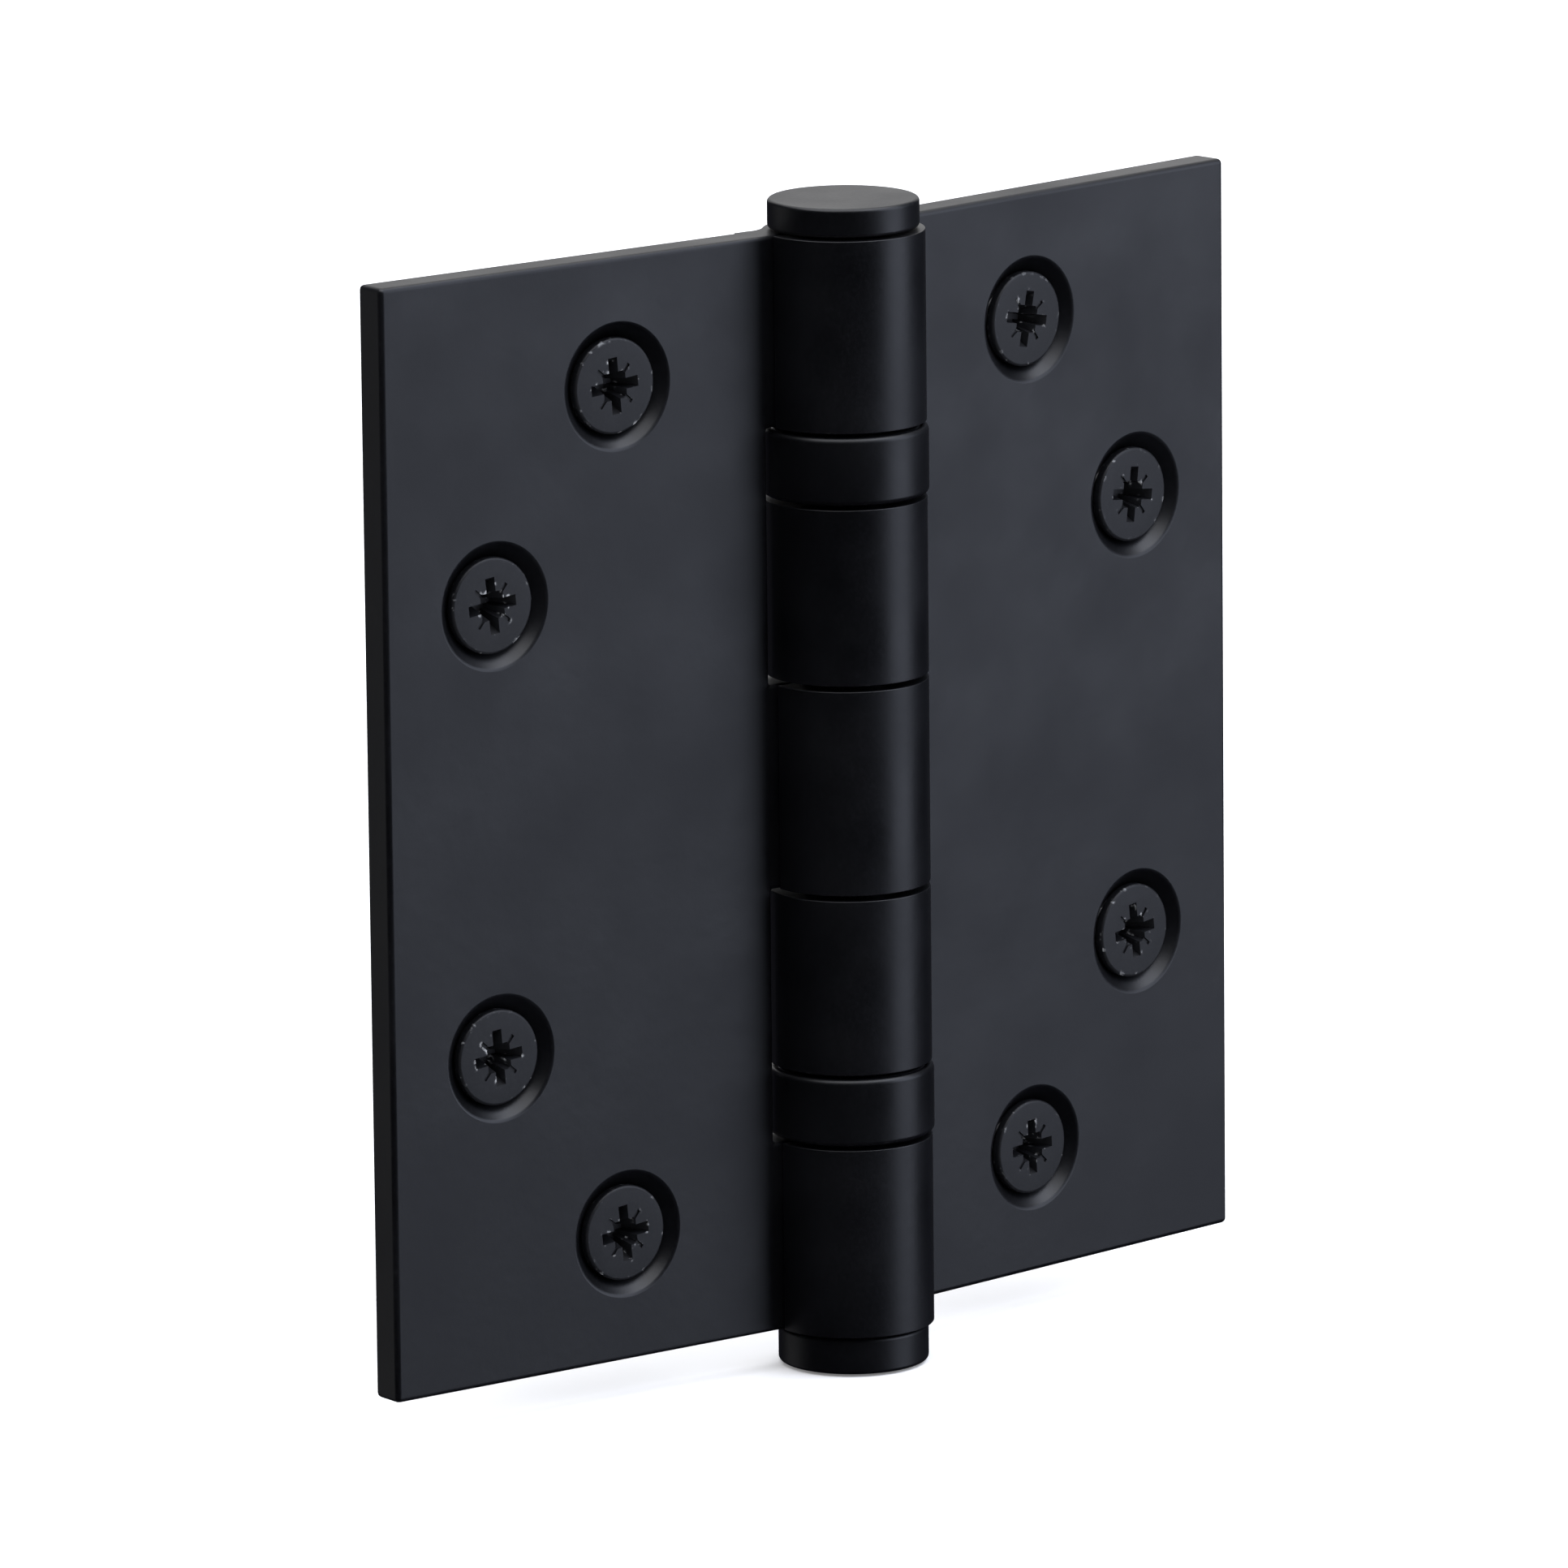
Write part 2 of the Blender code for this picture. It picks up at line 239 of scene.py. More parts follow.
def leaf(name, side, knuckles, slots, place, finish):
    """A leaf: its plate slotted, rounded and countersunk, and then joined to its knuckles."""
    half = LEAF_HEIGHT / 2
    near, far = sorted((side * PLATE_START, side * HALF_WIDTH))
    plate = drawn(name, block((near, FACE_SETBACK, -half), (far, BACK, half)))
    helpers = []
    for number, (low, high) in enumerate(slots):
        near, far = sorted((-side * CUT_PAST, side * SLOT_REACH))
        helpers.append(drawn(f"slot_{number}", block((near, -CUT_PAST, low), (far, BACK + CUT_PAST, high))))
        boolean(plate, helpers[-1])
    rounding = plate.modifiers.new("rounding", "BEVEL")
    rounding.limit_method = "ANGLE"
    rounding.width = EDGE_R
    rounding.segments = 4
    for ending, x, z in hole_places(side):
        sink = countersink(f"sink_{ending}")
        sink.location = (x, FACE_SETBACK, z)
        helpers.append(sink)
        boolean(plate, sink)
    for number, (low, high) in enumerate(knuckles):
        helpers.append(knuckle(f"knuckle_{number}", side, low, high))
        boolean(plate, helpers[-1], "UNION")
    shaped = settled(plate, name + "_shape", Matrix.Identity(4), None, helpers)
    even_normals(shaped)
    return settled(shaped, name, place, finish)


def node(tree, kind, settings=None, **values):
    """Adds a node. Its properties come from settings, its inputs' values from the rest."""
    made = tree.nodes.new(kind)
    for key, value in (settings or {}).items():
        setattr(made, key, value)
    for key, value in values.items():
        made.inputs[key.replace("_", " ")].default_value = value
    return made


def math_node(tree, operation, *feeds):
    """A Math node whose inputs are sockets or numbers."""
    made = tree.nodes.new("ShaderNodeMath")
    made.operation = operation
    for socket, feed in zip(made.inputs, feeds):
        if isinstance(feed, (int, float)):
            socket.default_value = feed
        else:
            tree.links.new(feed, socket)
    return made.outputs[0]


def shader_group(name, inputs, outputs):
    """An empty shader node group: its tree, its input node and its output node."""
    tree = bpy.data.node_groups.new(name, "ShaderNodeTree")
    for label, (kind, value) in inputs.items():
        socket = tree.interface.new_socket(label, in_out="INPUT", socket_type=kind)
        socket.default_value = value
    for label, kind in outputs.items():
        tree.interface.new_socket(label, in_out="OUTPUT", socket_type=kind)
    return tree, tree.nodes.new("NodeGroupInput"), tree.nodes.new("NodeGroupOutput")


def coat_grain_group():
    """The skin of a stoved coat: broad drift in tone, fine orange peel and the powder's grain."""
    tree, given, result = shader_group(
        "coat_grain",
        {
            "Dark": ("NodeSocketColor", (0.003, 0.003, 0.004, 1)),
            "Light": ("NodeSocketColor", (0.008, 0.009, 0.011, 1)),
            "Drift": ("NodeSocketFloat", 110.0),
            "Peel": ("NodeSocketFloat", 900.0),
            "Grain": ("NodeSocketFloat", 4200.0),
            "Relief": ("NodeSocketFloat", 0.35),
            "Smooth": ("NodeSocketFloat", 0.4),
            "Rough": ("NodeSocketFloat", 0.5),
        },
        {"Color": "NodeSocketColor", "Roughness": "NodeSocketFloat", "Normal": "NodeSocketVector"},
    )
    link = tree.links.new
    place = node(tree, "ShaderNodeTexCoord").outputs["Object"]
    noises = {}
    for label, detail in (("Drift", 3.0), ("Peel", 1.0), ("Grain", 2.0)):
        noise = node(tree, "ShaderNodeTexNoise", Detail=detail)
        link(place, noise.inputs["Vector"])
        link(given.outputs[label], noise.inputs["Scale"])
        noises[label] = noise.outputs["Fac"]
    tone = node(tree, "ShaderNodeMapRange", From_Min=0.3, From_Max=0.7)
    link(noises["Drift"], tone.inputs["Value"])
    fleck = node(tree, "ShaderNodeMapRange", From_Min=0.45, From_Max=0.75, To_Max=0.5)
    link(noises["Grain"], fleck.inputs["Value"])
    share = math_node(tree, "ADD", math_node(tree, "MULTIPLY", tone.outputs[0], 0.5), fleck.outputs[0])
    colour = node(tree, "ShaderNodeMix", {"data_type": "RGBA"})
    link(share, colour.inputs[0])
    link(given.outputs["Dark"], colour.inputs[6])
    link(given.outputs["Light"], colour.inputs[7])
    link(colour.outputs[2], result.inputs["Color"])
    gloss = node(tree, "ShaderNodeMapRange")
    link(math_node(tree, "ADD", math_node(tree, "MULTIPLY", tone.outputs[0], 0.6),
                   math_node(tree, "MULTIPLY", noises["Grain"], 0.4)), gloss.inputs["Value"])
    link(given.outputs["Smooth"], gloss.inputs["To Min"])
    link(given.outputs["Rough"], gloss.inputs["To Max"])
    link(gloss.outputs[0], result.inputs["Roughness"])
    height = math_node(tree, "ADD", noises["Peel"], math_node(tree, "MULTIPLY", noises["Grain"], 0.35))
    bump = node(tree, "ShaderNodeBump", Distance=0.00002)
    link(given.outputs["Relief"], bump.inputs["Strength"])
    link(height, bump.inputs["Height"])
    link(bump.outputs[0], result.inputs["Normal"])
    return tree


def edge_wear_and_sheen_group():
    """Rounded edges where handling has burnished the coat, with a painted highlight along them as well,
    broken up by noise.
    """
    tree, given, result = shader_group(
        "edge_wear_and_sheen",
        {"Reach": ("NodeSocketFloat", 0.0004), "Amount": ("NodeSocketFloat", 1.0)},
        {"Mask": "NodeSocketFloat"},
    )
    link = tree.links.new
    rounded = node(tree, "ShaderNodeBevel", {"samples": 4})
    link(given.outputs["Reach"], rounded.inputs["Radius"])
    true_normal = node(tree, "ShaderNodeNewGeometry").outputs["Normal"]
    facing = node(tree, "ShaderNodeVectorMath", {"operation": "DOT_PRODUCT"})
    link(rounded.outputs[0], facing.inputs[0])
    link(true_normal, facing.inputs[1])
    bend = node(tree, "ShaderNodeMapRange", From_Min=0.995, From_Max=0.9)
    link(facing.outputs["Value"], bend.inputs["Value"])
    noise = node(tree, "ShaderNodeTexNoise", Scale=1600.0, Detail=2.0)
    link(node(tree, "ShaderNodeTexCoord").outputs["Object"], noise.inputs["Vector"])
    broken = node(tree, "ShaderNodeMapRange", From_Min=0.62, From_Max=0.78)
    link(noise.outputs["Fac"], broken.inputs["Value"])
    # The edge mask stands for worn coat and for a painted highlight on the rounded edges.
    wear_and_sheen = math_node(tree, "MULTIPLY", bend.outputs[0], broken.outputs[0])
    link(math_node(tree, "MULTIPLY", wear_and_sheen, given.outputs["Amount"]), result.inputs["Mask"])
    return tree


COAT_GRAIN = coat_grain_group()
EDGE_WEAR_AND_SHEEN = edge_wear_and_sheen_group()


def coated(name, dark, light, smooth, rough, relief=0.35, edge_wear_and_sheen_colour=(0.05, 0.052, 0.056), edge_wear_and_sheen_amount=0.5):
    """A satin coat over steel: grain and drift from the coat, and a paler colour on rounded edges that is
    partly rubbed metal and partly a painted highlight.
    """
    made = bpy.data.materials.new(name)
    made.use_nodes = True
    tree = made.node_tree
    shader = tree.nodes["Principled BSDF"]
    shader.inputs["Specular IOR Level"].default_value = 0.5
    grain = node(tree, "ShaderNodeGroup", {"node_tree": COAT_GRAIN}, Dark=(*dark, 1), Light=(*light, 1),
                 Smooth=smooth, Rough=rough, Relief=relief)
    edge = node(tree, "ShaderNodeGroup", {"node_tree": EDGE_WEAR_AND_SHEEN}, Amount=edge_wear_and_sheen_amount)
    # The paler edge colour is partly worn coat and partly a painted highlight on the rounded edges.
    colour = node(tree, "ShaderNodeMix", {"data_type": "RGBA"})
    colour.inputs[7].default_value = (*edge_wear_and_sheen_colour, 1)
    tree.links.new(edge.outputs["Mask"], colour.inputs[0])
    tree.links.new(grain.outputs["Color"], colour.inputs[6])
    tree.links.new(colour.outputs[2], shader.inputs["Base Color"])
    tree.links.new(grain.outputs["Roughness"], shader.inputs["Roughness"])
    tree.links.new(grain.outputs["Normal"], shader.inputs["Normal"])
    return made


# The leaves' rounded edges get a little paler colour: partly wear, partly painted highlight.
leaf_coat = coated("leaf_black_coat", (0.0004, 0.0005, 0.0009), (0.0022, 0.0025, 0.0042), 0.31, 0.49,
                   edge_wear_and_sheen_amount=0.25)
past_end = LEAF_HEIGHT / 2 + CUT_PAST
slot_low, slot_high = MIDDLE_KNUCKLE[1], END_KNUCKLE[0]
door_low, door_high = DOOR_KNUCKLE
frame_leaf = leaf(
    "frame_leaf_rolled", -1,
    [MIDDLE_KNUCKLE, END_KNUCKLE, (-END_KNUCKLE[1], -END_KNUCKLE[0])],
    [(slot_low, slot_high), (-slot_high, -slot_low)],
    FRAME_PLACE, leaf_coat,
)
door_leaf = leaf(
    "door_leaf_rolled", 1,
    [DOOR_KNUCKLE, (-door_high, -door_low)],
    [(door_high, past_end), (-door_low, door_low), (-past_end, -door_high)],
    DOOR_PLACE, leaf_coat,
)
for piece, cad_node, body in (
    (frame_leaf, "frame_leaf", "frame_side"),
    (door_leaf, "door_leaf", "door_side"),
):
    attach(piece, body)
    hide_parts(cad_node)


# ---------------------------------------------------------------------------------------------
# The pin and its two flat buttons. The pin is turned from 7 mm steel bar with its top button in
# one piece and is fixed in the frame leaf's knuckles. The bottom button is turned on its own and
# its stem is pressed into the lowest knuckle. Both are finished like the leaves.
# ---------------------------------------------------------------------------------------------
PIN_R = 3.5
BUTTON_R = 6.05
BUTTON_EDGE_R = 0.32
TURNED_STEPS = 128
BUTTON_GAP = 0.15
PIN_TOP = (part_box("hinge_pin")[1].z - PIN.z) / MM
PIN_FOOT = (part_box("hinge_pin")[0].z - PIN.z) / MM
TIP_FOOT = (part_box("bottom_tip")[0].z - PIN.z) / MM
TIP_STEM_TOP = (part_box("bottom_tip")[1].z - PIN.z) / MM


def rounded(profile, radii, steps=5):
    """A profile with arcs at its corners; radii gives each point's radius, 0 for a sharp one."""
    out = []
    for i, (point, radius) in enumerate(zip(profile, radii)):
        if radius == 0:
            out.append(point)
            continue
        here = Vector(point)
        before = (Vector(profile[i - 1]) - here).normalized()
        after = (Vector(profile[(i + 1) % len(profile)]) - here).normalized()
        half = before.angle(after) / 2
        reach = radius / math.tan(half)
        centre = here + (before + after).normalized() * (radius / math.sin(half))
        start = here + before * reach - centre
        sweep = (here + after * reach - centre).angle_signed(start)
        for step in range(steps + 1):
            out.append(tuple(centre + Matrix.Rotation(sweep * step / steps, 2) @ start))
    return out


def turned_piece(name, profile, steps, place, finish, closed=False):
    """A lathe-turned piece from its profile, put in place with its finish."""
    made = drawn(name + "_shape", turned(profile, steps, closed))
    even_normals(made)
    return settled(made, name, place, finish)


half = LEAF_HEIGHT / 2
pin_coat = coated("pin_black_coat", (0.0005, 0.0006, 0.001), (0.0022, 0.0025, 0.004), 0.32, 0.48, 0.25)
pin_profile = rounded(
    [(0, PIN_FOOT), (PIN_R, PIN_FOOT), (PIN_R, half + BUTTON_GAP), (BUTTON_R, half + BUTTON_GAP),
     (BUTTON_R, PIN_TOP), (0, PIN_TOP)],
    [0, 0.5, 0, BUTTON_EDGE_R, BUTTON_EDGE_R, 0],
)
tip_profile = rounded(
    [(0, TIP_FOOT), (BUTTON_R, TIP_FOOT), (BUTTON_R, -half - BUTTON_GAP), (PIN_R, -half - BUTTON_GAP),
     (PIN_R, TIP_STEM_TOP), (0, TIP_STEM_TOP)],
    [0, BUTTON_EDGE_R, BUTTON_EDGE_R, 0, 0.4, 0],
)
for name, profile, cad_node in (
    ("pin_with_button", pin_profile, "hinge_pin"),
    ("bottom_button", tip_profile, "bottom_tip"),
):
    piece = turned_piece(name, profile, TURNED_STEPS, FRAME_PLACE, pin_coat)
    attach(piece, "frame_side")
    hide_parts(cad_node)


# ---------------------------------------------------------------------------------------------
# The ball thrust bearings, one between each end knuckle and its neighbour. Two hardened and ground
# steel washers run on eight polished balls, which a stamped brass cage keeps apart, and a pressed
# steel shell with the leaves' black coat closes each bearing in.
# ---------------------------------------------------------------------------------------------
# The balls and their cage roll half as far as the door leaf swings.
RING_PLACE = Matrix.Translation(PIN) @ Matrix.Rotation(OPEN_PAST_FLAT / 2, 4, "Z") @ Matrix.Scale(MM, 4)
BEARING = (23.15, 28.85)
BEARING_MIDDLE = sum(BEARING) / 2
SHELL_R = 6.65
SHELL_BORE_R = 6.15
SHELL_INSET = 0.1
RACE_BORE_R = 3.6
RACE_R = 6.05
RACE_GAP = 1.4
PITCH_R = 4.87
BALL_R = 0.8
BALLS = 8
CAGE_R = (3.66, 6.08)
CAGE_THICKNESS = 0.7
CAGE_EDGE_R = 0.06
CAGE_STEPS = 127
POCKET_R = 0.9
POCKET_STEPS = 30
GROOVE_EASE = 0.05  # the ball groove is this much wider in radius than the balls
GROOVE_STEPS = 12


def race_profile(base, face):
    """A washer from its ground base to the face with the ball groove."""
    groove_r = BALL_R + GROOVE_EASE
    half_groove = math.sqrt(groove_r**2 - (RACE_GAP / 2) ** 2)
    outline = rounded([(RACE_BORE_R, base), (RACE_R, base), (RACE_R, face)], [0.2, 0.5, 0.15])
    for step in range(GROOVE_STEPS + 1):
        off = half_groove * (1 - 2 * step / GROOVE_STEPS)
        deep = math.sqrt(groove_r**2 - off**2)
        outline.append((PITCH_R + off, BEARING_MIDDLE + math.copysign(deep, face - BEARING_MIDDLE)))
    return outline + [(RACE_BORE_R, face)]


def bare_metal(name, colour, low_rough, high_rough, streak_scale):
    """Ground or polished metal: fine circular or stray streaks in its roughness and bump."""
    made = bpy.data.materials.new(name)
    made.use_nodes = True
    tree = made.node_tree
    shader = tree.nodes["Principled BSDF"]
    shader.inputs["Metallic"].default_value = 1.0
    place = node(tree, "ShaderNodeTexCoord").outputs["Object"]
    squeeze = node(tree, "ShaderNodeMapping", Scale=streak_scale)
    tree.links.new(place, squeeze.inputs["Vector"])
    noise = node(tree, "ShaderNodeTexNoise", Scale=1.0, Detail=4.0)
    tree.links.new(squeeze.outputs[0], noise.inputs["Vector"])
    rough = node(tree, "ShaderNodeMapRange", To_Min=low_rough, To_Max=high_rough)
    tree.links.new(noise.outputs["Fac"], rough.inputs["Value"])
    tree.links.new(rough.outputs[0], shader.inputs["Roughness"])
    tint = node(tree, "ShaderNodeMix", {"data_type": "RGBA"})
    tint.inputs[6].default_value = (*[c * 0.8 for c in colour], 1)
    tint.inputs[7].default_value = (*colour, 1)
    tree.links.new(noise.outputs["Fac"], tint.inputs[0])
    tree.links.new(tint.outputs[2], shader.inputs["Base Color"])
    bump = node(tree, "ShaderNodeBump", Strength=0.2, Distance=0.00001)
    tree.links.new(noise.outputs["Fac"], bump.inputs["Height"])
    tree.links.new(bump.outputs[0], shader.inputs["Normal"])
    return made


shell_coat = coated("shell_black_coat", (0.0004, 0.0005, 0.0009), (0.002, 0.0023, 0.0038), 0.32, 0.48, 0.25)
race_steel = bare_metal("race_ground_steel", (0.2, 0.2, 0.21), 0.22, 0.38, (900, 900, 9000))
cage_brass = bare_metal("cage_stamped_brass", (0.72, 0.5, 0.2), 0.25, 0.45, (2500, 2500, 2500))
ball_steel = bare_metal("ball_polished_steel", (0.7, 0.7, 0.72), 0.05, 0.12, (3000, 3000, 3000))


def geometry_tree(name, inputs):
    """An empty Geometry Nodes tree: the tree, its input node and its output node."""
    tree = bpy.data.node_groups.new(name, "GeometryNodeTree")
    tree.interface.new_socket("Geometry", in_out="INPUT", socket_type="NodeSocketGeometry")
    for label, (kind, value) in inputs.items():
        socket = tree.interface.new_socket(label, in_out="INPUT", socket_type=kind)
        if value is not None:
            socket.default_value = value
    tree.interface.new_socket("Geometry", in_out="OUTPUT", socket_type="NodeSocketGeometry")
    return tree, tree.nodes.new("NodeGroupInput"), tree.nodes.new("NodeGroupOutput")


def grown(target, tree, values):
    """Puts a Geometry Nodes tree on an object, with its inputs set by their identifiers."""
    made = target.modifiers.new(tree.name, "NODES")
    made.node_group = tree
    for item in tree.interface.items_tree:
        if item.item_type == "SOCKET" and item.in_out == "INPUT" and item.name in values:
            made[item.identifier] = values[item.name]


def ball_ring_tree():
    """Balls evenly spaced on the pitch circle of a bearing."""
    tree, given, result = geometry_tree(
        "ball_ring",
        {
            "Balls": ("NodeSocketInt", 8),
            "Pitch Radius": ("NodeSocketFloat", 5.0),
            "Ball Radius": ("NodeSocketFloat", 1.0),
            "Height": ("NodeSocketFloat", 0.0),
            "Material": ("NodeSocketMaterial", None),
        },
    )
    link = tree.links.new
    circle = node(tree, "GeometryNodeMeshCircle")
    link(given.outputs["Balls"], circle.inputs["Vertices"])
    link(given.outputs["Pitch Radius"], circle.inputs["Radius"])
    raised = node(tree, "GeometryNodeTransform")
    lift = node(tree, "ShaderNodeCombineXYZ")
    link(given.outputs["Height"], lift.inputs["Z"])
    link(circle.outputs[0], raised.inputs["Geometry"])
    link(lift.outputs[0], raised.inputs["Translation"])
    ball = node(tree, "GeometryNodeMeshUVSphere", Segments=40, Rings=20)
    link(given.outputs["Ball Radius"], ball.inputs["Radius"])
    smooth = node(tree, "GeometryNodeSetShadeSmooth")
    link(ball.outputs["Mesh"], smooth.inputs["Geometry"])
    placed = node(tree, "GeometryNodeInstanceOnPoints")
    link(raised.outputs[0], placed.inputs["Points"])
    link(smooth.outputs[0], placed.inputs["Instance"])
    real = node(tree, "GeometryNodeRealizeInstances")
    link(placed.outputs[0], real.inputs[0])
    dressed = node(tree, "GeometryNodeSetMaterial")
    link(real.outputs[0], dressed.inputs["Geometry"])
    link(given.outputs["Material"], dressed.inputs["Material"])
    link(dressed.outputs[0], result.inputs[0])
    return tree


BALL_RING = ball_ring_tree()
for level, flip in (("upper", 1), ("lower", -1)):
    low, high = BEARING
    rings = {
        "bearing_shell": (
            rounded([(SHELL_BORE_R, low + SHELL_INSET), (SHELL_R, low + SHELL_INSET),
                     (SHELL_R, high - SHELL_INSET), (SHELL_BORE_R, high - SHELL_INSET)],
                    [0.05, 0.44, 0.44, 0.05]),
            FRAME_PLACE, "frame_side", shell_coat, "shell_coat",
        ),
        "frame_race": (race_profile(high, BEARING_MIDDLE + RACE_GAP / 2),
                       FRAME_PLACE, "frame_side", race_steel, "race_steel"),
        "door_race": (race_profile(low, BEARING_MIDDLE - RACE_GAP / 2),
                      DOOR_PLACE, "door_side", race_steel, "race_steel"),
    }
    for ending, (profile, place, body, finish, slot) in rings.items():
        mirrored = [(r, flip * z) for r, z in profile]
        piece = turned_piece(f"{level}_{ending}_turned", mirrored, TURNED_STEPS, place, finish, closed=True)
        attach(piece, body)
        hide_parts(f"{level}_{ending}")

    middle = flip * BEARING_MIDDLE
    thick = CAGE_THICKNESS / 2
    cage_profile = rounded(
        [(CAGE_R[0], middle - thick), (CAGE_R[1], middle - thick),
         (CAGE_R[1], middle + thick), (CAGE_R[0], middle + thick)],
        [CAGE_EDGE_R] * 4, 2,
    )
    cage = drawn(f"{level}_cage_shape", turned(cage_profile, CAGE_STEPS, closed=True))
    drill = [(0, -1), (POCKET_R, -1), (POCKET_R, 1), (0, 1)]
    pockets = []
    for number in range(BALLS):
        angle = math.tau * number / BALLS
        pocket = drawn(f"pocket_{number}", turned(drill, POCKET_STEPS))
        pocket.location = (PITCH_R * math.cos(angle), PITCH_R * math.sin(angle), middle)
        boolean(cage, pocket)
        pockets.append(pocket)
    cut_cage = settled(cage, f"{level}_cage_cut", Matrix.Identity(4), None, pockets)
    even_normals(cut_cage)
    piece = settled(cut_cage, f"{level}_ball_cage_stamped", RING_PLACE, cage_brass)
    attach(piece, f"{level}_ball_ring")
    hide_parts(f"{level}_ball_cage")

    seed = bpy.data.objects.new("ball_seed", bpy.data.meshes.new("ball_seed"))
    bpy.context.scene.collection.objects.link(seed)
    grown(seed, BALL_RING, {"Balls": BALLS, "Pitch Radius": PITCH_R, "Ball Radius": BALL_R,
                            "Height": middle, "Material": ball_steel})
    piece = settled(seed, f"{level}_balls", RING_PLACE, ball_steel)
    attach(piece, f"{level}_ball_ring")
    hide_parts(*[f"{level}_ball_{number + 1}" for number in range(BALLS)])


# ---------------------------------------------------------------------------------------------
# The eight wood screws. Each is a 4 x 16 mm countersunk steel screw with a cross recess and four
# fine ticks between its arms, cold headed, thread rolled, and blackened. Each sits a shade below
# the leaf's face, at the turn that it was left at.
# ---------------------------------------------------------------------------------------------
# Degrees that each screw's recess is turned from upright.
SCREW_TURNS = {
    "frame": {"inner_top": -5, "outer_top": -6, "outer_bottom": -5, "inner_bottom": -6},
    "door": {"inner_top": 11, "outer_top": 7, "outer_bottom": -6, "inner_bottom": -2.5},
}
SCREW_SIZES = {
    "Head Radius": 3.85,
    "Head Land": 0.7,
    "Head Edge": 0.22,
    "Core Radius": 1.35,
    "Thread Radius": 1.95,
    "Pitch": 1.8,
    "Length": 16.0,
    "Point": 3.0,
    "Recess Span": 4.55,
    "Recess Slot": 0.88,
    "Recess Depth": 2.1,
    "Tick Span": 4.3,
}
HEAD_TOP = 0.3  # the head sits this far below the leaf's face
SCREW_SIDES = 64
SCREW_ROWS = 230
ROW_CROWDING = 1.7  # rows of the mesh lie closer together at the head
THREAD_START = 2.9  # below the top of the head
FLANK_SLOPE = 4.5
BODY_SHARE = 2.5  # the square body of the recess is this many slots wide
TICK_WIDTH = 0.3
TICK_DEPTH = 0.16
CREASE = math.radians(38)


